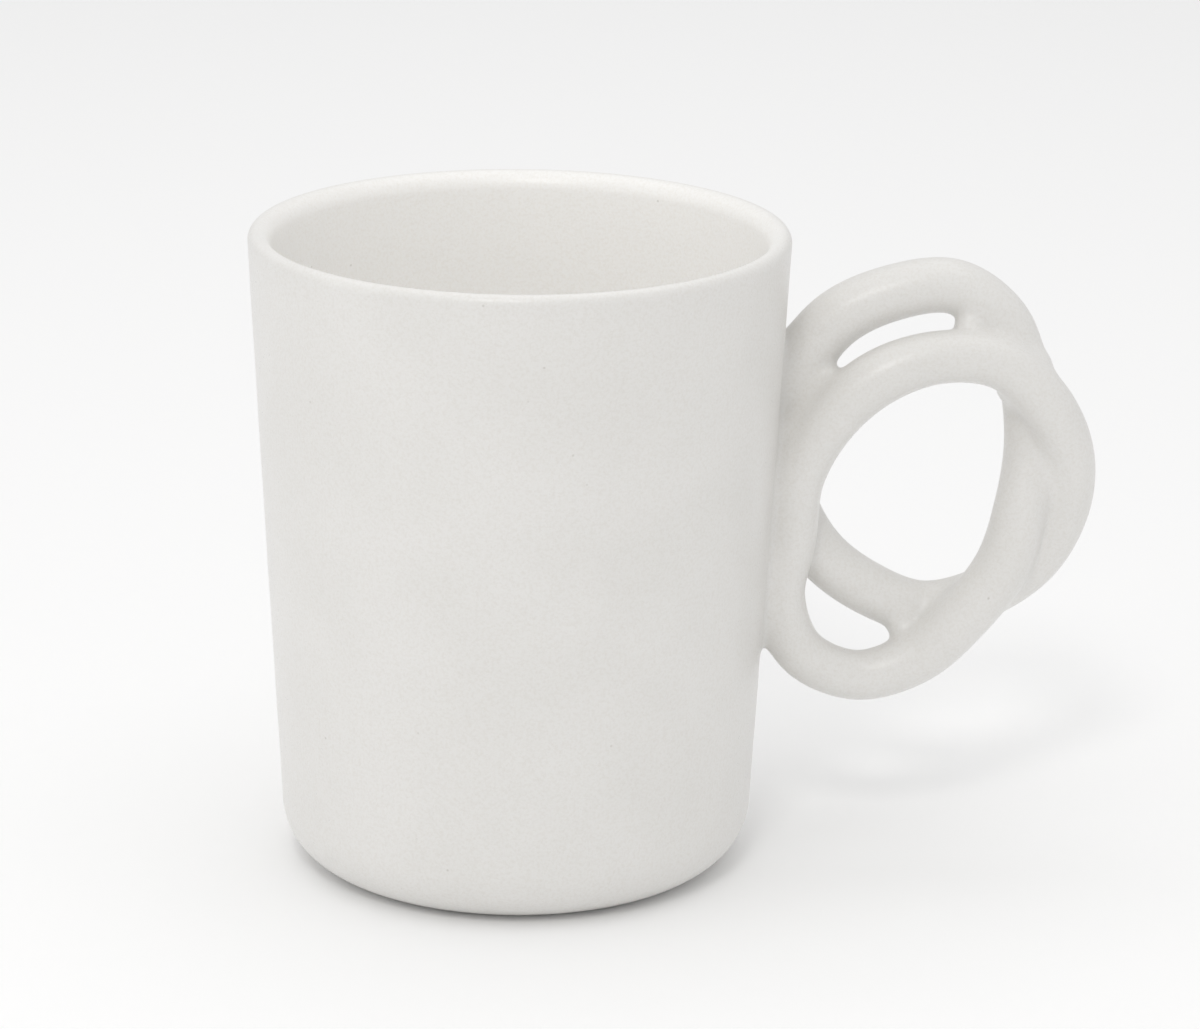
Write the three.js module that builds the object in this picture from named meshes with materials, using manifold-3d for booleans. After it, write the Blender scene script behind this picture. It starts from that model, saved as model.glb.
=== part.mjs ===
// Ceramic mug with a handle made of one rope of clay laid in two turns.
// Millimetres, +Z up. The origin is on the table at the centre of the foot.
// The handle is on the +X side and the front of the mug is its -Y side.

import * as THREE from 'three';
import { mergeVertices } from 'three/addons/utils/BufferGeometryUtils.js';
import Module from 'manifold-3d';

// Cup
const MUG_HEIGHT = 100;
const RIM_RADIUS = 41.2;
const TABLE_RADIUS = 36.05;
const WALL_THICKNESS = 3.6;
const HEEL_RADIUS = 9.6;
const FLOOR_HEIGHT = 4.5;
const FLOOR_FILLET = 8.5;
const FOOT_INNER_RADIUS = 24;
const FOOT_RECESS = 0.8;
const LIP_OUTER_WIDTH = 1.2;
const LIP_OUTER_HEIGHT = 1.5;
const LIP_INNER_WIDTH = 2.4;
const LIP_INNER_HEIGHT = 3;
const CUP_SEGMENTS = 72;
const CORNER_STEPS = 5;
const LIP_STEPS = 4;
// The outer wall is a plain cone between these heights.
const CONE_LOW = 12;
const CONE_HIGH = 97;

// Handle
const ROPE_RADIUS = 4.1;
const ROPE_SIDES = 12;
const ROPE_STEPS = 76;
const FIT_GAP = 0.3;
// Knots left open on each side of the two joins between the coils.
const JOIN_GAP = 0.016;

// Slip squeezed into the seams
const SLIP_RADIUS = 1.05;
const SLIP_SETBACK = 0.5;
const SLIP_SIDES = 8;
const SLIP_STEPS = 15;
const GROOVE_POINTS = 8;
const KNOT_STEP = 0.02;

// The middle line of the rope, one full lap of both turns.
const ROPE_KNOTS = [
  // back strand rising against the wall
  [42.5, 3.4, 56.1],
  [42.5, 3.4, 66.1],
  [43.4, 3.3, 76.2],
  // tall turn: over the top, then down inside the wide turn
  [48.9, 3, 84.1],
  [57.6, 2.8, 88.4],
  [67.5, 2.8, 89.3],
  [75.3, 2.9, 83.8],
  [78.9, 2.9, 74.4],
  [79.9, 1.8, 64.5],
  [78.3, -1.2, 55.3],
  [75.5, -2.4, 45.8],
  [69.6, -2.9, 37.8],
  [62.2, -2.7, 31],
  [53, -2.6, 28.3],
  [44.2, -2.8, 32.4],
  // front strand rising against the wall
  [40.6, -3, 41.4],
  [42, -3.3, 51.4],
  [43, -3.4, 61.2],
  // wide turn: across in front, out and down, then back to the wall
  [47.8, -3.2, 70],
  [55.1, -2.9, 76.5],
  [64.5, -2.8, 79.6],
  [74.1, -2.9, 78.5],
  [81.3, -2.6, 72.1],
  [85.4, -0.9, 63.4],
  [85.6, 1.4, 54],
  [81.6, 2.7, 45.2],
  [73.7, 2.9, 39.6],
  [64, 2.9, 37.5],
  [54.8, 3, 41],
  [47.2, 3.3, 47.2],
];
const FRONT_JOIN = 15;
const BACK_JOIN = 30;

// Stretches of rope, in knots, that lie against the wall or beside another stretch.
const WALL_FRONT = [14.4, 17.2];
const WALL_BACK = [29.8, 32.1];
const TALL_OUTER = [6.9, 9.3];
const WIDE_OUTER = [21, 26];
const WIDE_RISING = [15.8, 17.7];
const WIDE_RETURN = [28, 32];

const wasm = await Module();
wasm.setup();

const glaze = new THREE.MeshStandardMaterial({ color: 0xdcdbd7, roughness: 0.42, metalness: 0 });

// ---------------------------------------------------------------- solids

function toSolid(geometry) {
  const bare = geometry.clone();
  bare.deleteAttribute('normal');
  bare.deleteAttribute('uv');
  const merged = mergeVertices(bare);
  const corners = merged.index.array;
  const kept = [];
  for (let i = 0; i < corners.length; i += 3) {
    const [a, b, c] = [corners[i], corners[i + 1], corners[i + 2]];
    if (a !== b && b !== c && c !== a) {
      kept.push(a, b, c);
    }
  }
  const mesh = new wasm.Mesh({
    numProp: 3,
    vertProperties: new Float32Array(merged.attributes.position.array),
    triVerts: new Uint32Array(kept),
  });
  return new wasm.Manifold(mesh);
}

function toGeometry(solid) {
  const mesh = solid.getMesh();
  const geometry = new THREE.BufferGeometry();
  geometry.setAttribute('position', new THREE.BufferAttribute(mesh.vertProperties, 3));
  geometry.setIndex(new THREE.BufferAttribute(mesh.triVerts, 1));
  geometry.computeVertexNormals();
  return geometry;
}

// ---------------------------------------------------------------- cup

function wallRadius(z) {
  return TABLE_RADIUS + (RIM_RADIUS - TABLE_RADIUS) * (z / MUG_HEIGHT);
}

// Points along the arc that rounds one corner of an outline.
function roundedCorner(before, corner, after, radius) {
  const inward = before.clone().sub(corner).normalize();
  const outward = after.clone().sub(corner).normalize();
  const halfAngle = inward.angleTo(outward) / 2;
  const middle = inward.clone().add(outward).normalize();
  const centre = corner.clone().addScaledVector(middle, radius / Math.sin(halfAngle));
  const reach = radius / Math.tan(halfAngle);
  const start = corner.clone().addScaledVector(inward, reach).sub(centre);
  const end = corner.clone().addScaledVector(outward, reach).sub(centre);
  let sweep = end.angle() - start.angle();
  if (sweep > Math.PI) {
    sweep -= 2 * Math.PI;
  }
  if (sweep < -Math.PI) {
    sweep += 2 * Math.PI;
  }
  const points = [];
  for (let i = 0; i <= CORNER_STEPS; i += 1) {
    const turned = start.clone().rotateAround(new THREE.Vector2(), (sweep * i) / CORNER_STEPS);
    points.push(turned.add(centre));
  }
  return points;
}

function lipArc(width, height, fromAngle, toAngle) {
  const crown = RIM_RADIUS - LIP_OUTER_WIDTH;
  const arc = new THREE.EllipseCurve(crown, MUG_HEIGHT - height, width, height, fromAngle, toAngle);
  return arc.getPoints(LIP_STEPS);
}

function buildCup() {
  const heel = roundedCorner(
    new THREE.Vector2(FOOT_INNER_RADIUS, 0),
    new THREE.Vector2(TABLE_RADIUS, 0),
    new THREE.Vector2(RIM_RADIUS, MUG_HEIGHT),
    HEEL_RADIUS,
  );
  const floorCorner = new THREE.Vector2(wallRadius(FLOOR_HEIGHT) - WALL_THICKNESS, FLOOR_HEIGHT);
  const innerTop = new THREE.Vector2(wallRadius(MUG_HEIGHT) - WALL_THICKNESS, MUG_HEIGHT);
  const floorArc = roundedCorner(
    innerTop,
    floorCorner,
    new THREE.Vector2(0, FLOOR_HEIGHT),
    FLOOR_FILLET,
  );
  const outline = [
    new THREE.Vector2(0, FOOT_RECESS),
    new THREE.Vector2(FOOT_INNER_RADIUS - FOOT_RECESS, FOOT_RECESS),
    new THREE.Vector2(FOOT_INNER_RADIUS, 0),
    ...heel,
    ...lipArc(LIP_OUTER_WIDTH, LIP_OUTER_HEIGHT, 0, Math.PI / 2),
    ...lipArc(LIP_INNER_WIDTH, LIP_INNER_HEIGHT, Math.PI / 2, Math.PI).slice(1),
    ...floorArc,
    new THREE.Vector2(0, FLOOR_HEIGHT),
  ];
  return new THREE.LatheGeometry(outline, CUP_SEGMENTS).rotateX(Math.PI / 2);
}

// The straight part of the wall as a plain solid cone, grown by the fitting gap.
function wallKeepOut() {
  const cone = new THREE.CylinderGeometry(
    wallRadius(CONE_HIGH) + FIT_GAP,
    wallRadius(CONE_LOW) + FIT_GAP,
    CONE_HIGH - CONE_LOW,
    CUP_SEGMENTS,
  );
  cone.translate(0, (CONE_HIGH + CONE_LOW) / 2, 0);
  cone.rotateX(Math.PI / 2);
  return toSolid(cone);
}

// ---------------------------------------------------------------- handle

const route = new THREE.CatmullRomCurve3(
  ROPE_KNOTS.map((knot) => new THREE.Vector3(...knot)),
  true,
  'centripetal',
);

function ropeAt(knot) {
  const lap = knot / ROPE_KNOTS.length;
  return route.getPoint(lap - Math.floor(lap));
}

// A stretch of the rope between two knots, which need not be whole numbers.
class RopeSpan extends THREE.Curve {
  constructor(from, to) {
    super();
    this.from = from;
    this.to = to;
  }

  getPoint(t, target = new THREE.Vector3()) {
    return target.copy(ropeAt(this.from + (this.to - this.from) * t));
  }
}

function sweepRound(path, radius, sides, steps) {
  const section = new THREE.Shape();
  section.absarc(0, 0, radius, 0, 2 * Math.PI);
  return new THREE.ExtrudeGeometry(section, {
    steps,
    bevelEnabled: false,
    extrudePath: path,
    curveSegments: sides / 2,
  });
}

function coilSolid(from, to, grow) {
  return toSolid(sweepRound(new RopeSpan(from, to), ROPE_RADIUS + grow, ROPE_SIDES, ROPE_STEPS));
}

// ---------------------------------------------------------------- slip seams

// Middle line of the slip in the groove between a strand and the cup wall.
function wallGroove([from, to], side) {
  const points = [];
  for (let i = 0; i <= GROOVE_POINTS; i += 1) {
    const centre = ropeAt(from + ((to - from) * i) / GROOVE_POINTS);
    const outward = new THREE.Vector3(centre.x, centre.y, 0).normalize();
    const around = new THREE.Vector3(-outward.y, outward.x, 0).multiplyScalar(side);
    const height = Math.hypot(centre.x, centre.y) - wallRadius(centre.z) - SLIP_SETBACK;
    const reach = ROPE_RADIUS + SLIP_SETBACK;
    const across = Math.sqrt(reach * reach - height * height);
    points.push(centre.addScaledVector(outward, -height).addScaledVector(around, across));
  }
  return new THREE.CatmullRomCurve3(points);
}

// The knot value, between two others, at which the rope comes nearest to a point.
function nearestKnot(point, [from, to]) {
  let best = from;
  for (let knot = from; knot <= to; knot += KNOT_STEP) {
    if (ropeAt(knot).distanceTo(point) < ropeAt(best).distanceTo(point)) {
      best = knot;
    }
  }
  return best;
}

// Middle line of the slip in the groove between two strands that lie side by side.
function strandGroove([from, to], neighbour, facing) {
  const points = [];
  for (let i = 0; i <= GROOVE_POINTS; i += 1) {
    const a = ropeAt(from + ((to - from) * i) / GROOVE_POINTS);
    const b = ropeAt(nearestKnot(a, neighbour));
    const link = b.clone().sub(a);
    const open = facing.clone().projectOnPlane(link.clone().normalize()).normalize();
    const reach = ROPE_RADIUS + SLIP_SETBACK;
    const rise = Math.sqrt(reach * reach - link.lengthSq() / 4);
    points.push(a.add(b).multiplyScalar(0.5).addScaledVector(open, rise));
  }
  return new THREE.CatmullRomCurve3(points);
}

// ---------------------------------------------------------------- assembly

const tallSpan = [JOIN_GAP, FRONT_JOIN - JOIN_GAP];
const wideSpan = [FRONT_JOIN + JOIN_GAP, BACK_JOIN - JOIN_GAP];

const wall = wallKeepOut();
const wideGrown = coilSolid(...wideSpan, FIT_GAP);
const tallGrown = coilSolid(...tallSpan, FIT_GAP);
const tallCoil = coilSolid(...tallSpan, 0).subtract(wideGrown).subtract(wall);
const wideCoil = coilSolid(...wideSpan, 0).subtract(wall);

function seam(path) {
  const slip = toSolid(sweepRound(path, SLIP_RADIUS, SLIP_SIDES, SLIP_STEPS));
  return toGeometry(slip.subtract(wideGrown).subtract(tallGrown).subtract(wall));
}

const FRONT = new THREE.Vector3(0, -1, 0);
const BACK = new THREE.Vector3(0, 1, 0);
const INNER = new THREE.Vector3(1, 0, 0);

const pieces = {
  cup_body: buildCup(),
  tall_coil: toGeometry(tallCoil),
  wide_coil: toGeometry(wideCoil),
  slip_seam_wall_front: seam(wallGroove(WALL_FRONT, -1)),
  slip_seam_wall_back: seam(wallGroove(WALL_BACK, 1)),
  slip_seam_coils_front: seam(strandGroove(TALL_OUTER, WIDE_OUTER, FRONT)),
  slip_seam_coils_back: seam(strandGroove(TALL_OUTER, WIDE_OUTER, BACK)),
  slip_seam_coils_inner: seam(strandGroove(WIDE_RISING, WIDE_RETURN, INNER)),
};

const mug = new THREE.Group();
mug.name = 'ceramic_mug';
for (const [name, geometry] of Object.entries(pieces)) {
  const piece = new THREE.Mesh(geometry, glaze.clone());
  piece.name = name;
  mug.add(piece);
}

export default mug;
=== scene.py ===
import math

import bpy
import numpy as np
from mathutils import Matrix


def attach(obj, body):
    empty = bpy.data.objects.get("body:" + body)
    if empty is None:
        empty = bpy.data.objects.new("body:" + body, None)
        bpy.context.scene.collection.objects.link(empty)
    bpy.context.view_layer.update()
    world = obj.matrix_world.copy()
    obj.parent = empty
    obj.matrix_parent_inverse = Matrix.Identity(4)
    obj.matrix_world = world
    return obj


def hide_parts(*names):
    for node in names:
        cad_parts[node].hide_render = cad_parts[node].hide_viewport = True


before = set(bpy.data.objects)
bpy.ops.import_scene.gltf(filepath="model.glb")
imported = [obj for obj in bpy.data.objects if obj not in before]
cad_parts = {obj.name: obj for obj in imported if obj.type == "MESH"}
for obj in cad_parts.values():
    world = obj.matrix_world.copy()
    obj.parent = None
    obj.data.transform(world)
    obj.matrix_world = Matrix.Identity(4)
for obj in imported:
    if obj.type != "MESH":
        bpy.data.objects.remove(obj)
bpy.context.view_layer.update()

# An off-white ceramic mug. Its handle is one rope of clay laid in two turns.
# Shapes are worked out in millimetres and scaled to metres when a mesh is made.
# +X runs out through the handle, -Y is the front and the foot stands on z = 0.

import openvdb
from mathutils import Matrix, Vector

MM = 0.001

# Cup
MUG_HEIGHT = 100.0
RIM_RADIUS = 41.2
TABLE_RADIUS = 36.05
WALL_THICKNESS = 3.6
HEEL_RADIUS = 9.6
FLOOR_HEIGHT = 4.5
FLOOR_FILLET = 8.5
FOOT_INNER_RADIUS = 24.0
FOOT_OUTER_RADIUS = 26.94
FOOT_RECESS = 0.8
LIP_OUTER_WIDTH = 1.2
LIP_OUTER_HEIGHT = 1.5
LIP_INNER_WIDTH = 2.4
LIP_INNER_HEIGHT = 3.0
# The lip's arcs stop this many degrees short of upright, because the wall leans.
LIP_LEAN = 2
# The foot ring's inner edge is broken by a small bevel, and bare clay runs a little past its flat.
FOOT_EDGE_LIFT = 0.1
FOOT_EDGE_REACH = 0.15
CLAY_INWARD = 0.2
CLAY_OUTWARD = 1.2
CLAY_UPWARD = 0.4
# How far the wall strays from a true cone: an oval mouth, a slow twist and faint finger rings.
OVAL_WOBBLE = 0.05
TWIST_WOBBLE = 0.03
RING_WOBBLE = 0.015
RINGS_PER_HEIGHT = 31.0
# Steps in the mesh, round the cup and along each stretch of its outline.
CUP_SEGMENTS = 288
RECESS_STEPS = 6
FOOT_STEPS = 3
HEEL_STEPS = 22
WALL_STEPS = 44
LIP_OUTER_STEPS = 12
LIP_INNER_STEPS = 18
INSIDE_STEPS = 40
FILLET_STEPS = 18
FLOOR_STEPS = 8

# The middle line of the rope, one full lap of both turns: x, y, z and the rope's radius.
ROPE_KNOTS = np.array([
    # back strand rising against the wall
    (42.5, 3.4, 56.1, 4.3),
    (42.5, 3.4, 66.1, 4.4),
    (43.4, 3.3, 76.2, 4.55),
    # tall turn: over the top, then down inside the wide turn
    (48.9, 3.0, 84.1, 4.5),
    (57.6, 2.8, 88.4, 4.35),
    (67.5, 2.8, 89.3, 4.25),
    (75.3, 2.9, 83.8, 4.1),
    (78.9, 2.9, 74.4, 4.0),
    (79.9, 1.8, 64.5, 3.95),
    (78.3, -1.2, 55.3, 4.05),
    (75.5, -2.4, 45.8, 4.3),
    (69.6, -2.9, 37.8, 4.3),
    (62.2, -2.7, 31.0, 4.2),
    (53.0, -2.6, 28.3, 3.9),
    (44.2, -2.8, 32.4, 3.9),
    # front strand rising against the wall
    (40.6, -3.0, 41.4, 3.95),
    (42.0, -3.3, 51.4, 4.0),
    (43.0, -3.4, 61.2, 4.1),
    # wide turn: across in front, out and down, then back to the wall
    (47.8, -3.2, 70.0, 4.2),
    (55.1, -2.9, 76.5, 4.35),
    (64.5, -2.8, 79.6, 4.1),
    (74.1, -2.9, 78.5, 4.05),
    (81.3, -2.6, 72.1, 4.1),
    (85.4, -0.9, 63.4, 4.15),
    (85.6, 1.4, 54.0, 4.15),
    (81.6, 2.7, 45.2, 4.1),
    (73.7, 2.9, 39.6, 4.1),
    (64.0, 2.9, 37.5, 4.1),
    (54.8, 3.0, 41.0, 4.2),
    (47.2, 3.3, 47.2, 4.2),
])
KNOT_COUNT = len(ROPE_KNOTS)
STEPS_PER_KNOT = 20
ROPE_SIDES = 72
# Knots in the joint with the wall, where one length of rope ends and the other begins.
FRONT_JOIN = 15
BACK_JOIN = 30

# The rope is halved here, in two free stretches, so that every crossing is between the halves.
LOWER_SPLIT = 13.0
INNER_SPLIT = 27.75

# Slip that fills the creases. The blends are the widths over which two surfaces are rounded together.
COIL_BLEND = 4.1
WALL_BLEND = 3.8
STROKE_BLEND = 3.0
# The slip reaches this deep into the clay, lies a hair under the blend and runs past its own edges.
SLIP_DEPTH = 0.6
SLIP_SINK = 0.003
SLIP_OVERLAP = 0.5
SLIP_EDGE_DROP = 0.015
# It is meshed on a fine grid, worked out only near the creases that a coarser grid finds.
SLIP_VOXEL = 0.3
COARSE_RATIO = 4
COARSE_MARGIN = 1.5
CRUMB_POINTS = 150
SETTLING_STEPS = 2
POINTS_PER_BLOCK = 200
# Between the turns, the slip on the wall's side of this x belongs to the inner seam, and the slip
# beyond it to the front and back seams.
FINGER_HOLE_X = 58.0
# Strokes of slip pressed into the narrow corners where the turns cross. Each runs from x, y, z to
# x, y, z and has a radius at each end.
SLIP_STROKES = np.array([
    (69.4, 0.0, 83.7, 69.4, 0.0, 83.7, 1.9, 1.9),
    (79.6, 0.0, 77.1, 79.6, 0.0, 77.1, 2.7, 2.7),
    (76.9, 0.0, 73.9, 76.9, 0.0, 73.9, 2.6, 2.6),
    (60.4, 0.0, 35.1, 60.4, 0.0, 35.1, 2.0, 2.0),
    (47.6, 0.0, 75.7, 42.2, -1.5, 67.4, 1.7, 2.6),
])
# The box that holds every crease
HANDLE_LOW = (35.0, -10.5, 22.0)
HANDLE_HIGH = (91.5, 10.5, 95.0)

# Glaze. Tones are linear red, green and blue. Noise scales are in cells per metre.
GLAZE_DARK = (0.766, 0.756, 0.734)
GLAZE_LIGHT = (0.786, 0.776, 0.756)
# Inside the cup and over the lip the glaze is painted whiter: painted light, standing in for the brighter
# light inside the cup.
INSIDE_PAINTED_LIGHT_TONE = (0.995, 0.986, 0.966)
CLOUD_SCALE = 60.0
CLOUD_RANGE = (0.35, 0.65)
MOTTLE_TINT = (0.917, 0.901, 0.878)
MOTTLE_SCALE = 2100.0
MOTTLE_RANGE = (0.42, 0.70)
MOTTLE_STRENGTH = 0.65
GRAIN_SCALE = 4200.0
GRAIN_RELIEF = 0.4
# Flecks: one in a small share of the cells, with a full core and a faded edge. Sizes are in metres.
FLECK_TONE = (0.36, 0.33, 0.28)
FLECK_STRENGTH = 0.35
FLECK_CELL = 0.0022
FLECK_RADIUS = 0.00026
FLECK_CORE = 0.4
FLECK_SHARE = 0.035
# Most of a noise lies within this range.
NOISE_RANGE = (0.3, 0.7)
GLAZE_ROUGHNESS = (0.27, 0.36)
GLAZE_IOR = 1.5
GLAZE_BUMP = 0.35
GLAZE_BUMP_HEIGHT = 0.00006

# Bare clay of the foot ring
CLAY_DARK = (0.62, 0.57, 0.49)
CLAY_LIGHT = (0.74, 0.70, 0.62)
CLAY_ROUGHNESS = (0.75, 0.9)
CLAY_BUMP = 0.6
CLAY_BUMP_HEIGHT = 0.0001
SAND_SCALE = 1800.0

# Stage. Places and sizes are in metres and powers in watts.
LIGHT_TARGET = (0.02, 0.0, 0.05)
SOFTBOXES = (
    # name, place, side, power, colour
    ("key_softbox", (-0.22, -0.85, 0.92), 0.22, 2.0, (1.0, 0.99, 0.97)),
    ("top_softbox", (0.0, 0.05, 1.1), 1.3, 3.2, (1.0, 1.0, 1.0)),
    ("left_panel", (-1.1, -0.2, 0.45), 0.8, 1.0, (1.0, 1.0, 1.0)),
)
WORLD_STRENGTH = 0.71
FLOOR_TONE = 0.985
FLOOR_ROUGHNESS = 0.8
FLOOR_REACH = 4.0

# Camera. Its distance, height and lens are in millimetres, its angles in radians and its near limit in
# metres.
CAMERA_AZIMUTH = math.radians(-5.0)
CAMERA_DISTANCE = 705.6
CAMERA_HEIGHT = 272.6
CAMERA_PITCH = 0.2993
CAMERA_YAW = 0.0179
CAMERA_ROLL = 0.0126
CAMERA_LENS = 143.7
SENSOR_WIDTH = 36.0
CLIP_START = 0.01

# A fold sharper than this many degrees keeps a crisp edge.
SHARP_ANGLE = 50.0


# ---------------------------------------------------------------- meshes

def make_piece(name, points, faces, materials):
    """A closed smooth mesh from points in millimetres."""
    mesh = bpy.data.meshes.new(name)
    mesh.from_pydata((np.asarray(points) * MM).tolist(), [], [list(face) for face in faces])
    mesh.validate()
    for material in materials:
        mesh.materials.append(material)
    mesh.shade_smooth()
    mesh.set_sharp_from_angle(angle=math.radians(SHARP_ANGLE))
    piece = bpy.data.objects.new(name, mesh)
    bpy.context.scene.collection.objects.link(piece)
    return piece


def grid_faces(rows, columns):
    """Quads between rings that each close on themselves."""
    faces = []
    for row in range(rows - 1):
        for column in range(columns):
            after = (column + 1) % columns
            faces.append((
                row * columns + column,
                row * columns + after,
                (row + 1) * columns + after,
                (row + 1) * columns + column,
            ))
    return faces


def capped_faces(rows, columns):
    """Rings of quads with a fan at each end. The two end points follow the rings."""
    faces = grid_faces(rows, columns)
    first = rows * columns
    last = first + 1
    top = (rows - 1) * columns
    for column in range(columns):
        after = (column + 1) % columns
        faces.append((first, after, column))
        faces.append((last, top + column, top + after))
    return faces


# ---------------------------------------------------------------- cup

def wall_radius(z):
    return TABLE_RADIUS + (RIM_RADIUS - TABLE_RADIUS) * z / MUG_HEIGHT


WALL_TAPER = math.atan2(RIM_RADIUS - TABLE_RADIUS, MUG_HEIGHT)


def hand_wobble(angle, z):
    """How far a wall formed by hand strays from a true cone, in millimetres."""
    height = z / MUG_HEIGHT
    oval = OVAL_WOBBLE * np.sin(2 * angle + 0.7) * height
    twist = TWIST_WOBBLE * np.sin(3 * angle + 5.0 * height + 1.9)
    rings = RING_WOBBLE * np.sin(RINGS_PER_HEIGHT * height + 0.8 * np.sin(angle + 0.4))
    return oval + twist + rings


def arc(centre, width, height, start, end, count):
    """Points on an ellipse, from one angle in degrees to another."""
    angles = np.radians(np.linspace(start, end, count))
    return [(centre[0] + width * math.cos(a), centre[1] + height * math.sin(a)) for a in angles]


def straight(start, end, count):
    """Points between two ends, without the ends themselves."""
    steps = np.linspace(0, 1, count + 2)[1:-1]
    return [tuple(np.add(start, np.subtract(end, start) * step)) for step in steps]


def cup_outline():
    """Radius and height from the middle of the underside to the middle of the floor, and the lip's ring."""
    taper = math.degrees(WALL_TAPER)
    recess_edge = (FOOT_INNER_RADIUS - FOOT_RECESS, FOOT_RECESS)
    foot_bevel = (FOOT_INNER_RADIUS - FOOT_EDGE_LIFT, FOOT_EDGE_LIFT)
    foot_inner = (FOOT_INNER_RADIUS + FOOT_EDGE_REACH, 0.0)
    heel_centre = (FOOT_OUTER_RADIUS, HEEL_RADIUS)
    heel = arc(heel_centre, HEEL_RADIUS, HEEL_RADIUS, -90, -taper, HEEL_STEPS)
    crown = RIM_RADIUS - LIP_OUTER_WIDTH
    outer_centre = (crown, MUG_HEIGHT - LIP_OUTER_HEIGHT)
    inner_centre = (crown, MUG_HEIGHT - LIP_INNER_HEIGHT)
    lip_out = arc(outer_centre, LIP_OUTER_WIDTH, LIP_OUTER_HEIGHT, LIP_LEAN, 90, LIP_OUTER_STEPS)
    lip_in = arc(inner_centre, LIP_INNER_WIDTH, LIP_INNER_HEIGHT, 90, 180 - LIP_LEAN, LIP_INNER_STEPS)
    fillet_height = FLOOR_HEIGHT + FLOOR_FILLET
    fillet_centre = (wall_radius(fillet_height) - WALL_THICKNESS - FLOOR_FILLET, fillet_height)
    fillet = arc(fillet_centre, FLOOR_FILLET, FLOOR_FILLET, -taper, -90, FILLET_STEPS)
    outline = [(0.0, FOOT_RECESS)]
    outline += straight(outline[0], recess_edge, RECESS_STEPS)
    outline += [recess_edge, foot_bevel, foot_inner]
    outline += straight(foot_inner, heel[0], FOOT_STEPS)
    outline += heel
    outline += straight(heel[-1], lip_out[0], WALL_STEPS)
    lip_ring = len(outline) - 1
    outline += lip_out
    outline += lip_in[1:]
    outline += straight(lip_in[-1], fillet[0], INSIDE_STEPS)
    outline += fillet
    outline += straight(fillet[-1], (0.0, FLOOR_HEIGHT), FLOOR_STEPS)
    outline.append((0.0, FLOOR_HEIGHT))
    return outline, lip_ring


def build_cup(glaze, clay, inside_painted_light_glaze):
    """The cup turned from its outline. Its foot ring is bare, and its lip and inside are painted whiter, as
    painted light for the brighter light inside the cup.
    """
    outline, lip_ring = cup_outline()
    outline = np.array(outline)
    rings = outline[1:-1]
    angles = np.linspace(0, 2 * math.pi, CUP_SEGMENTS, endpoint=False)
    points = []
    for radius, z in rings:
        share = min(1.0, z / HEEL_RADIUS) * min(1.0, radius / TABLE_RADIUS)
        reach = radius + share * hand_wobble(angles, z)
        points += list(zip(reach * np.cos(angles), reach * np.sin(angles), np.full(CUP_SEGMENTS, z)))
    points.append((0.0, 0.0, outline[0][1]))
    points.append((0.0, 0.0, outline[-1][1]))
    cup = make_piece("cup", points, capped_faces(len(rings), CUP_SEGMENTS), [glaze, clay, inside_painted_light_glaze])
    for face in cup.data.polygons:
        middle = face.center / MM
        radius = math.hypot(middle.x, middle.y)
        on_ring = FOOT_INNER_RADIUS - CLAY_INWARD < radius < FOOT_OUTER_RADIUS + CLAY_OUTWARD
        if on_ring and middle.z < CLAY_UPWARD:
            face.material_index = 1
        if min(face.vertices) >= lip_ring * CUP_SEGMENTS:
            face.material_index = 2
    return cup


# ---------------------------------------------------------------- rope

def rope_samples():
    """Knot values, middle points, radii and directions along one closed lap of the rope."""
    places = ROPE_KNOTS[:, :3]
    after = np.roll(ROPE_KNOTS, -1, axis=0)
    gaps = np.sqrt(np.linalg.norm(after[:, :3] - places, axis=1))[:, None]
    gaps_before = np.roll(gaps, 1, axis=0)
    step_before = ROPE_KNOTS - np.roll(ROPE_KNOTS, 1, axis=0)
    step_after = after - ROPE_KNOTS
    slope = step_before / gaps_before + step_after / gaps
    slope -= (step_before + step_after) / (gaps_before + gaps)
    knots = []
    rows = []
    for index in range(KNOT_COUNT):
        following = (index + 1) % KNOT_COUNT
        start = ROPE_KNOTS[index]
        end = ROPE_KNOTS[following]
        leave = slope[index] * gaps[index]
        arrive = slope[following] * gaps[index]
        for step in range(STEPS_PER_KNOT):
            t = step / STEPS_PER_KNOT
            knots.append(index + t)
            rows.append(
                (2 * t**3 - 3 * t**2 + 1) * start + (t**3 - 2 * t**2 + t) * leave
                + (3 * t**2 - 2 * t**3) * end + (t**3 - t**2) * arrive
            )
    rows = np.array(rows)
    centres = rows[:, :3]
    directions = np.roll(centres, -1, axis=0) - np.roll(centres, 1, axis=0)
    directions /= np.linalg.norm(directions, axis=1)[:, None]
    return np.array(knots), centres, rows[:, 3], directions


ROPE_AT, ROPE_CENTRES, ROPE_RADII, ROPE_DIRECTIONS = rope_samples()


def rope_indices(first_knot, last_knot):
    """The samples on a stretch of rope. It may run over the end of the lap."""
    first = round(first_knot * STEPS_PER_KNOT)
    last = round(last_knot * STEPS_PER_KNOT)
    return np.arange(first, last + 1) % len(ROPE_AT)


def build_rope(name, first_knot, last_knot, glaze):
    """One length of rope as a closed tube."""
    along = rope_indices(first_knot, last_knot)
    angles = np.linspace(0, 2 * math.pi, ROPE_SIDES, endpoint=False)[:, None]
    points = []
    for index in along:
        direction = ROPE_DIRECTIONS[index]
        sideways = np.array((0.0, 1.0, 0.0)) - direction[1] * direction
        sideways /= np.linalg.norm(sideways)
        outward = np.cross(sideways, direction)
        ring = np.cos(angles) * outward + np.sin(angles) * sideways
        points += list(ROPE_CENTRES[index] + ROPE_RADII[index] * ring)
    points.append(ROPE_CENTRES[along[0]])
    points.append(ROPE_CENTRES[along[-1]])
    return make_piece(name, points, capped_faces(len(along), ROPE_SIDES), [glaze])


# ---------------------------------------------------------------- slip in the creases

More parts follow.
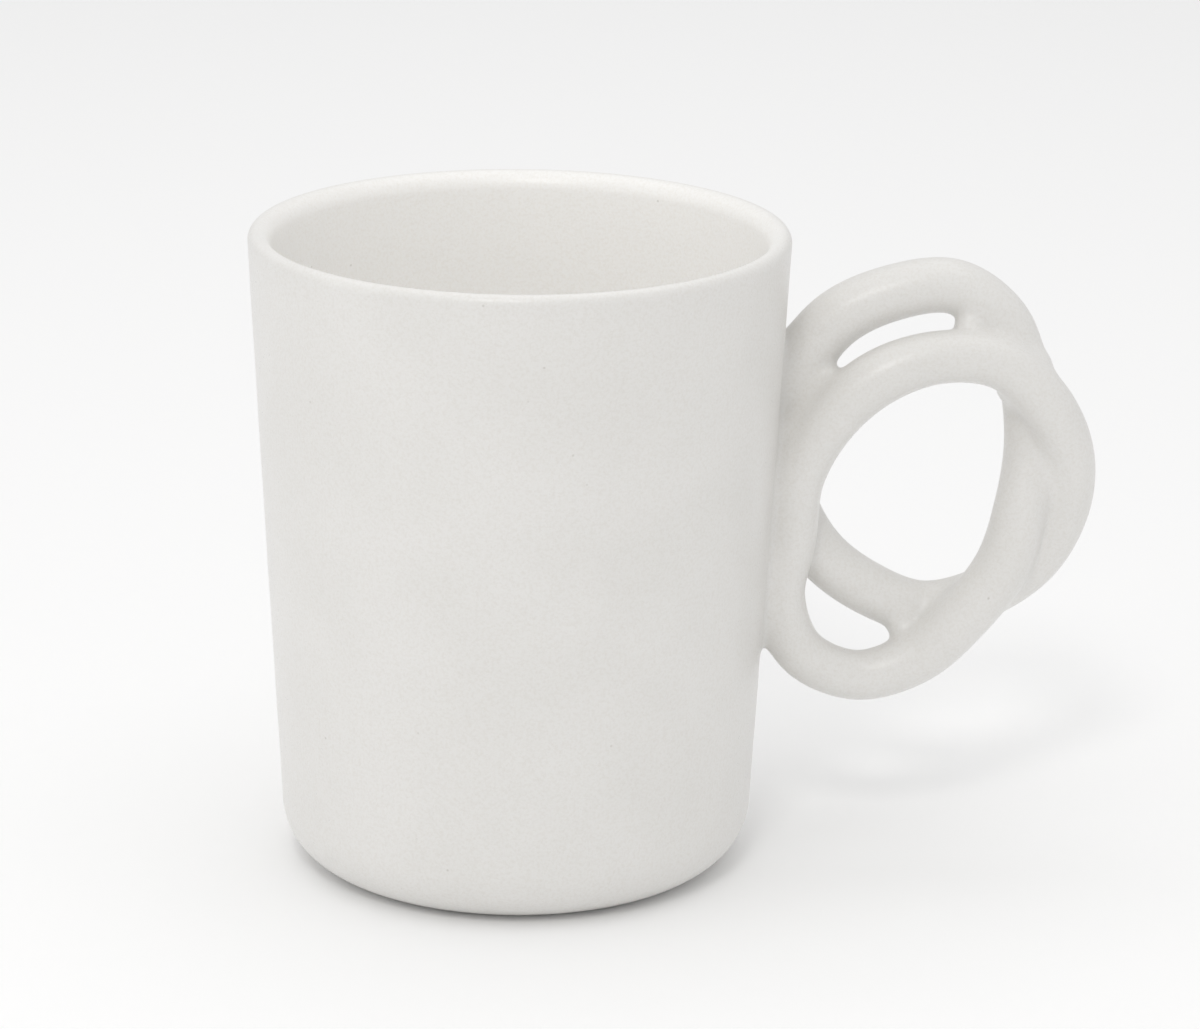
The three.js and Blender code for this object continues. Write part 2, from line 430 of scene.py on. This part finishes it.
def rope_field(points, first_knot, last_knot):
    """For each point: its distance outside a stretch of rope, and where on it the nearest place is."""
    indices = rope_indices(first_knot, last_knot)
    starts = ROPE_CENTRES[indices[:-1]]
    ends = ROPE_CENTRES[indices[1:]]
    radii = ROPE_RADII[indices]
    spans = ends - starts
    lengths = (spans**2).sum(axis=1)
    field = {name: [] for name in ("outside", "knot", "centre", "direction")}
    for block in np.array_split(points, max(1, len(points) // POINTS_PER_BLOCK)):
        to_start = (block**2).sum(axis=1)[:, None] - 2 * block @ starts.T + (starts**2).sum(axis=1)
        along = block @ spans.T - (starts * spans).sum(axis=1)
        share = np.clip(along / lengths, 0.0, 1.0)
        squared = to_start - 2 * share * along + share**2 * lengths
        outside = np.sqrt(np.maximum(squared, 0.0)) - radii[:-1] - share * (radii[1:] - radii[:-1])
        nearest = outside.argmin(axis=1)
        rows = np.arange(len(block))
        part = share[rows, nearest]
        field["outside"].append(outside[rows, nearest])
        field["knot"].append(first_knot + (nearest + part) / STEPS_PER_KNOT)
        field["centre"].append(starts[nearest] + part[:, None] * spans[nearest])
        field["direction"].append(spans[nearest] / np.sqrt(lengths[nearest])[:, None])
    return {name: np.concatenate(values) for name, values in field.items()}


def smooth_step(value):
    """An even S-curve from 0 to 1."""
    value = np.clip(value, 0.0, 1.0)
    return value * value * (3 - 2 * value)


def soft_join(first, second, first_slope, second_slope, width):
    """The smaller of two distances, rounded over a width, and its slope."""
    width = np.maximum(width, 1e-6)
    closeness = np.maximum(width - np.abs(first - second), 0.0) / width
    share = closeness**2 / 2
    joined = np.minimum(first, second) - closeness**3 * width / 6
    first_share = np.where(first < second, 1 - share, share)[:, None]
    return joined, first_share * first_slope + (1 - first_share) * second_slope


def unit(vectors):
    return vectors / np.maximum(np.linalg.norm(vectors, axis=1), 1e-9)[:, None]


def stroke_field(points):
    """For each point: its distance outside the nearest stroke of slip, and the slope of that distance."""
    starts = SLIP_STROKES[:, :3]
    spans = SLIP_STROKES[:, 3:6] - starts
    first_radii, last_radii = SLIP_STROKES[:, 6], SLIP_STROKES[:, 7]
    from_start = points[:, None, :] - starts
    squares = np.maximum((spans**2).sum(axis=1), 1e-9)
    share = np.clip((from_start * spans).sum(axis=2) / squares, 0.0, 1.0)
    apart = from_start - share[:, :, None] * spans
    outside = np.linalg.norm(apart, axis=2) - first_radii - share * (last_radii - first_radii)
    nearest = outside.argmin(axis=1)
    rows = np.arange(len(points))
    return outside[rows, nearest], unit(apart[rows, nearest])


def mug_field(points):
    """The distances that shape the slip at each point.

    filled is the distance outside the mug with its creases filled, and slope is that distance's
    slope. bare is the distance outside the mug without slip. near_wall is below zero where handle
    and wall are blended. near_coils is below zero where the two halves of the rope are blended, and
    near a stroke. facing is above zero in front of the line where the two halves touch.
    """
    behind = rope_field(points, INNER_SPLIT - KNOT_COUNT, LOWER_SPLIT)
    ahead = rope_field(points, LOWER_SPLIT, INNER_SPLIT)
    clear_behind = np.minimum(behind["knot"] - INNER_SPLIT + KNOT_COUNT, LOWER_SPLIT - behind["knot"])
    clear_ahead = np.minimum(ahead["knot"] - LOWER_SPLIT, INNER_SPLIT - ahead["knot"])
    width = COIL_BLEND * smooth_step(clear_behind) * smooth_step(clear_ahead)
    handle, handle_slope = soft_join(
        behind["outside"],
        ahead["outside"],
        unit(points - behind["centre"]),
        unit(points - ahead["centre"]),
        width,
    )
    stroke, stroke_slope = stroke_field(points)
    handle, handle_slope = soft_join(
        handle, stroke, handle_slope, stroke_slope, np.full(len(points), STROKE_BLEND),
    )
    around = np.arctan2(points[:, 1], points[:, 0])
    reach = np.hypot(points[:, 0], points[:, 1])
    height = points[:, 2]
    wall = (reach - wall_radius(height) - hand_wobble(around, height)) * math.cos(WALL_TAPER)
    wall_slope = np.stack((
        np.cos(around) * math.cos(WALL_TAPER),
        np.sin(around) * math.cos(WALL_TAPER),
        np.full(len(points), -math.sin(WALL_TAPER)),
    ), axis=1)
    filled, slope = soft_join(handle, wall, handle_slope, wall_slope, np.full(len(points), WALL_BLEND))
    link = ahead["centre"] - behind["centre"]
    facing = unit(np.cross(behind["direction"], link))
    beside = np.abs(behind["outside"] - ahead["outside"]) - width
    return {
        "filled": filled + SLIP_SINK,
        "slope": slope,
        "bare": np.minimum(np.minimum(behind["outside"], ahead["outside"]), wall),
        "near_wall": np.abs(handle - wall) - WALL_BLEND,
        "near_coils": np.minimum(beside, stroke - STROKE_BLEND),
        "facing": ((points - behind["centre"]) * facing).sum(axis=1),
    }


def wall_front_cut(points, field):
    return np.maximum(field["near_wall"], points[:, 1])


def wall_back_cut(points, field):
    return np.maximum(field["near_wall"], -points[:, 1])


def coils_front_cut(points, field):
    outer = np.maximum(field["near_coils"], FINGER_HOLE_X - points[:, 0])
    return np.maximum(outer, -field["facing"])


def coils_back_cut(points, field):
    outer = np.maximum(field["near_coils"], FINGER_HOLE_X - points[:, 0])
    return np.maximum(outer, field["facing"])


def coils_inner_cut(points, field):
    side = np.maximum(-field["near_wall"], points[:, 0] - FINGER_HOLE_X)
    return np.maximum(field["near_coils"], side)


def slip_value(points, field, cut):
    """The height over a seam's outer surface, and a value below zero inside its slip.

    The slip lies under the filled surface and goes only skin deep into the clay. Near its cut
    edges it drops a hair, so that two pieces that overlap there cross and never lie face on face.
    """
    edge = cut(points, field)
    surface = field["filled"] + SLIP_EDGE_DROP * smooth_step((edge / SLIP_OVERLAP + 1) / 2)
    skin = -(field["bare"] + SLIP_DEPTH)
    return surface, np.maximum(np.maximum(surface, skin), edge - SLIP_OVERLAP)


def grid_points(low, counts, step):
    axes = [low[axis] + step * np.arange(counts[axis]) for axis in range(3)]
    return np.stack(np.meshgrid(*axes, indexing="ij"), axis=-1).reshape(-1, 3)


def crease_grid():
    """A fine grid over the handle, with the field worked out only where a coarse grid finds a crease."""
    coarse_step = SLIP_VOXEL * COARSE_RATIO
    low = np.array(HANDLE_LOW)
    counts = np.ceil((np.array(HANDLE_HIGH) - low) / coarse_step).astype(int)
    middle = low + SLIP_VOXEL * (COARSE_RATIO - 1) / 2
    field = mug_field(grid_points(middle, counts, coarse_step))
    margin = COARSE_MARGIN * coarse_step
    near = (field["filled"] < margin) & (field["bare"] > -SLIP_DEPTH - margin)
    near &= np.minimum(field["near_wall"], field["near_coils"]) < SLIP_OVERLAP + 2 * margin
    near = near.reshape(counts)
    for axis in range(3):
        near = near.repeat(COARSE_RATIO, axis=axis)
    points = grid_points(low, near.shape, SLIP_VOXEL)[near.ravel()]
    return low, near, points, mug_field(points)


def without_crumbs(points, quads):
    """The mesh without the loose crumbs that the grid leaves where a crease runs out."""
    labels = np.arange(len(points))
    while True:
        lowest = labels[quads].min(axis=1)
        merged = labels.copy()
        np.minimum.at(merged, quads, lowest[:, None])
        merged = merged[merged]
        if (merged == labels).all():
            break
        labels = merged
    kept = np.bincount(labels)[labels] > CRUMB_POINTS
    renumbered = np.cumsum(kept) - 1
    return points[kept], renumbered[quads[kept[quads[:, 0]]]]


def build_slip(name, grid, cut, glaze):
    """One seam's slip, meshed from the grid and then drawn onto its exact surface."""
    low, near, places, field = grid
    values = np.ones(near.shape, np.float32)
    values[near] = slip_value(places, field, cut)[1]
    volume = openvdb.FloatGrid(1.0)
    volume.copyFromArray(values)
    points, quads = volume.convertToQuads(isovalue=0.0)
    points, quads = without_crumbs(low + points.astype(float) * SLIP_VOXEL, quads.astype(int))
    for _ in range(SETTLING_STEPS):
        field = mug_field(points)
        surface, value = slip_value(points, field, cut)
        step = surface[:, None] * field["slope"]
        points = np.where((surface >= value)[:, None], points - step, points)
    return make_piece(name, points, quads, [glaze])


# ---------------------------------------------------------------- materials

def new_material(name):
    material = bpy.data.materials.new(name)
    material.use_nodes = True
    nodes = material.node_tree.nodes
    nodes.clear()
    output = nodes.new("ShaderNodeOutputMaterial")
    shader = nodes.new("ShaderNodeBsdfPrincipled")
    material.node_tree.links.new(shader.outputs["BSDF"], output.inputs["Surface"])
    return material, nodes, material.node_tree.links, shader


def noise(nodes, links, place, scale, detail, roughness=0.5):
    node = nodes.new("ShaderNodeTexNoise")
    node.inputs["Scale"].default_value = scale
    node.inputs["Detail"].default_value = detail
    node.inputs["Roughness"].default_value = roughness
    links.new(place, node.inputs["Vector"])
    return node.outputs["Fac"]


def remap(nodes, links, value, old_range, new_range):
    node = nodes.new("ShaderNodeMapRange")
    node.inputs["From Min"].default_value = old_range[0]
    node.inputs["From Max"].default_value = old_range[1]
    node.inputs["To Min"].default_value = new_range[0]
    node.inputs["To Max"].default_value = new_range[1]
    links.new(value, node.inputs["Value"])
    return node.outputs["Result"]


def mix_colour(nodes, links, share, first, second, blend="MIX"):
    node = nodes.new("ShaderNodeMix")
    node.data_type = "RGBA"
    node.blend_type = blend
    links.new(share, node.inputs["Factor"])
    for socket, colour in ((node.inputs["A"], first), (node.inputs["B"], second)):
        if isinstance(colour, tuple):
            socket.default_value = (*colour, 1.0)
        else:
            links.new(colour, socket)
    return node.outputs["Result"]


def math_node(nodes, links, operation, first, second):
    node = nodes.new("ShaderNodeMath")
    node.operation = operation
    for socket, value in ((node.inputs[0], first), (node.inputs[1], second)):
        if isinstance(value, (int, float)):
            socket.default_value = value
        else:
            links.new(value, socket)
    return node.outputs["Value"]


def bump_up(nodes, links, shader, height, strength, distance):
    node = nodes.new("ShaderNodeBump")
    node.inputs["Strength"].default_value = strength
    node.inputs["Distance"].default_value = distance
    links.new(height, node.inputs["Height"])
    links.new(node.outputs["Normal"], shader.inputs["Normal"])


def flecks(nodes, links, place):
    """Tiny round flecks: one where a Voronoi cell is chosen, faded toward its edge."""
    node = nodes.new("ShaderNodeTexVoronoi")
    node.inputs["Scale"].default_value = 1.0 / FLECK_CELL
    links.new(place, node.inputs["Vector"])
    edge = FLECK_RADIUS / FLECK_CELL
    dot = remap(nodes, links, node.outputs["Distance"], (FLECK_CORE * edge, edge), (1.0, 0.0))
    split = nodes.new("ShaderNodeSeparateColor")
    links.new(node.outputs["Color"], split.inputs["Color"])
    chosen = math_node(nodes, links, "LESS_THAN", split.outputs["Red"], FLECK_SHARE)
    spread = math_node(nodes, links, "MULTIPLY", dot, chosen)
    return math_node(nodes, links, "MULTIPLY", spread, FLECK_STRENGTH)


def object_place(nodes):
    return nodes.new("ShaderNodeTexCoord").outputs["Object"]


def flat_radius(nodes, links, place):
    """Distance from the mug's upright axis."""
    flatten = nodes.new("ShaderNodeVectorMath")
    flatten.operation = "MULTIPLY"
    flatten.inputs[1].default_value = (1.0, 1.0, 0.0)
    links.new(place, flatten.inputs[0])
    length = nodes.new("ShaderNodeVectorMath")
    length.operation = "LENGTH"
    links.new(flatten.outputs["Vector"], length.inputs[0])
    return length.outputs["Value"]


def glaze_material(name, inside):
    """Satin off-white glaze: a fine sugary mottle, cloudy patches and sparse tiny warm grey flecks.

    Inside the cup the tone is painted whiter, as painted light for the brighter light there. It turns so
    over the width of the lip.
    """
    material, nodes, links, shader = new_material(name)
    place = object_place(nodes)
    clouds = noise(nodes, links, place, CLOUD_SCALE, 3.0)
    mottle = noise(nodes, links, place, MOTTLE_SCALE, 3.0, 0.65)
    grain = noise(nodes, links, place, GRAIN_SCALE, 2.0)
    cloudy = remap(nodes, links, clouds, CLOUD_RANGE, (0.0, 1.0))
    tone = mix_colour(nodes, links, cloudy, GLAZE_DARK, GLAZE_LIGHT)
    # Painted light: the inside and lip are whitened to stand in for the brighter light inside the cup.
    if inside:
        radius = flat_radius(nodes, links, place)
        lip = (RIM_RADIUS * MM, (RIM_RADIUS - WALL_THICKNESS) * MM)
        inward = remap(nodes, links, radius, lip, (0.0, 1.0))
        tone = mix_colour(nodes, links, inward, tone, INSIDE_PAINTED_LIGHT_TONE)
    mottled = remap(nodes, links, mottle, MOTTLE_RANGE, (0.0, MOTTLE_STRENGTH))
    tone = mix_colour(nodes, links, mottled, tone, MOTTLE_TINT, "MULTIPLY")
    tone = mix_colour(nodes, links, flecks(nodes, links, place), tone, FLECK_TONE)
    links.new(tone, shader.inputs["Base Color"])
    links.new(remap(nodes, links, mottle, NOISE_RANGE, GLAZE_ROUGHNESS), shader.inputs["Roughness"])
    shader.inputs["IOR"].default_value = GLAZE_IOR
    fine = math_node(nodes, links, "MULTIPLY", grain, GRAIN_RELIEF)
    relief = math_node(nodes, links, "ADD", mottle, fine)
    bump_up(nodes, links, shader, relief, GLAZE_BUMP, GLAZE_BUMP_HEIGHT)
    return material


def clay_material():
    """The bare, slightly sandy clay of the foot ring."""
    material, nodes, links, shader = new_material("bare_clay")
    sand = noise(nodes, links, object_place(nodes), SAND_SCALE, 4.0, 0.7)
    sandy = remap(nodes, links, sand, NOISE_RANGE, (0.0, 1.0))
    links.new(mix_colour(nodes, links, sandy, CLAY_DARK, CLAY_LIGHT), shader.inputs["Base Color"])
    links.new(remap(nodes, links, sand, NOISE_RANGE, CLAY_ROUGHNESS), shader.inputs["Roughness"])
    bump_up(nodes, links, shader, sand, CLAY_BUMP, CLAY_BUMP_HEIGHT)
    return material


# ---------------------------------------------------------------- stage

def aim_camera():
    """The camera stands in front of the mug and looks down on it, a touch right of its axis."""
    right_way = Matrix.Rotation(CAMERA_AZIMUTH, 3, "Z")
    forward = Vector((
        math.sin(CAMERA_YAW) * math.cos(CAMERA_PITCH),
        math.cos(CAMERA_YAW) * math.cos(CAMERA_PITCH),
        -math.sin(CAMERA_PITCH),
    ))
    level = Vector((math.cos(CAMERA_YAW), -math.sin(CAMERA_YAW), 0.0))
    upward = level.cross(forward)
    right = math.cos(CAMERA_ROLL) * level + math.sin(CAMERA_ROLL) * upward
    up = math.cos(CAMERA_ROLL) * upward - math.sin(CAMERA_ROLL) * level
    turn = Matrix((right_way @ right, right_way @ up, right_way @ -forward)).transposed()
    place = right_way @ Vector((0.0, -CAMERA_DISTANCE, CAMERA_HEIGHT)) * MM
    camera = bpy.data.objects.new("camera", bpy.data.cameras.new("camera"))
    camera.data.sensor_width = SENSOR_WIDTH
    camera.data.lens = CAMERA_LENS
    camera.data.clip_start = CLIP_START
    camera.matrix_world = Matrix.Translation(place) @ turn.to_4x4()
    bpy.context.scene.collection.objects.link(camera)
    bpy.context.scene.camera = camera


def softbox(name, place, side, power, colour):
    light = bpy.data.lights.new(name, "AREA")
    light.shape = "SQUARE"
    light.size = side
    light.energy = power
    light.color = colour
    lamp = bpy.data.objects.new(name, light)
    lamp.location = place
    lamp.rotation_euler = (Vector(LIGHT_TARGET) - Vector(place)).to_track_quat("-Z", "Y").to_euler()
    bpy.context.scene.collection.objects.link(lamp)


def light_stage():
    for settings in SOFTBOXES:
        softbox(*settings)
    world = bpy.data.worlds.new("studio")
    world.use_nodes = True
    background = world.node_tree.nodes["Background"]
    background.inputs["Color"].default_value = (1.0, 1.0, 1.0, 1.0)
    background.inputs["Strength"].default_value = WORLD_STRENGTH
    bpy.context.scene.world = world
    bpy.context.scene.view_settings.view_transform = "Standard"


def build_floor():
    mesh = bpy.data.meshes.new("floor")
    corners = [(x * FLOOR_REACH, y * FLOOR_REACH, 0) for x, y in ((-1, -1), (1, -1), (1, 1), (-1, 1))]
    mesh.from_pydata(corners, [], [(0, 1, 2, 3)])
    material, _, _, shader = new_material("pale_floor")
    shader.inputs["Base Color"].default_value = (FLOOR_TONE, FLOOR_TONE, FLOOR_TONE, 1.0)
    shader.inputs["Roughness"].default_value = FLOOR_ROUGHNESS
    mesh.materials.append(material)
    floor = bpy.data.objects.new("floor", mesh)
    bpy.context.scene.collection.objects.link(floor)


# ---------------------------------------------------------------- assembly

def place_piece(piece, node):
    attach(piece, "root")
    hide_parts(node)


aim_camera()
light_stage()
build_floor()

glaze = glaze_material("satin_glaze", False)
inside_painted_light_glaze = glaze_material("inside_painted_light_glaze", True)
clay = clay_material()

place_piece(build_cup(glaze, clay, inside_painted_light_glaze), "cup_body")
place_piece(build_rope("tall_rope", 0, FRONT_JOIN, glaze), "tall_coil")
place_piece(build_rope("wide_rope", FRONT_JOIN, BACK_JOIN, glaze), "wide_coil")

SEAMS = (
    ("slip_wall_front", "slip_seam_wall_front", wall_front_cut),
    ("slip_wall_back", "slip_seam_wall_back", wall_back_cut),
    ("slip_coils_front", "slip_seam_coils_front", coils_front_cut),
    ("slip_coils_back", "slip_seam_coils_back", coils_back_cut),
    ("slip_coils_inner", "slip_seam_coils_inner", coils_inner_cut),
)
creases = crease_grid()
for piece_name, node_name, cut in SEAMS:
    place_piece(build_slip(piece_name, creases, cut, glaze), node_name)
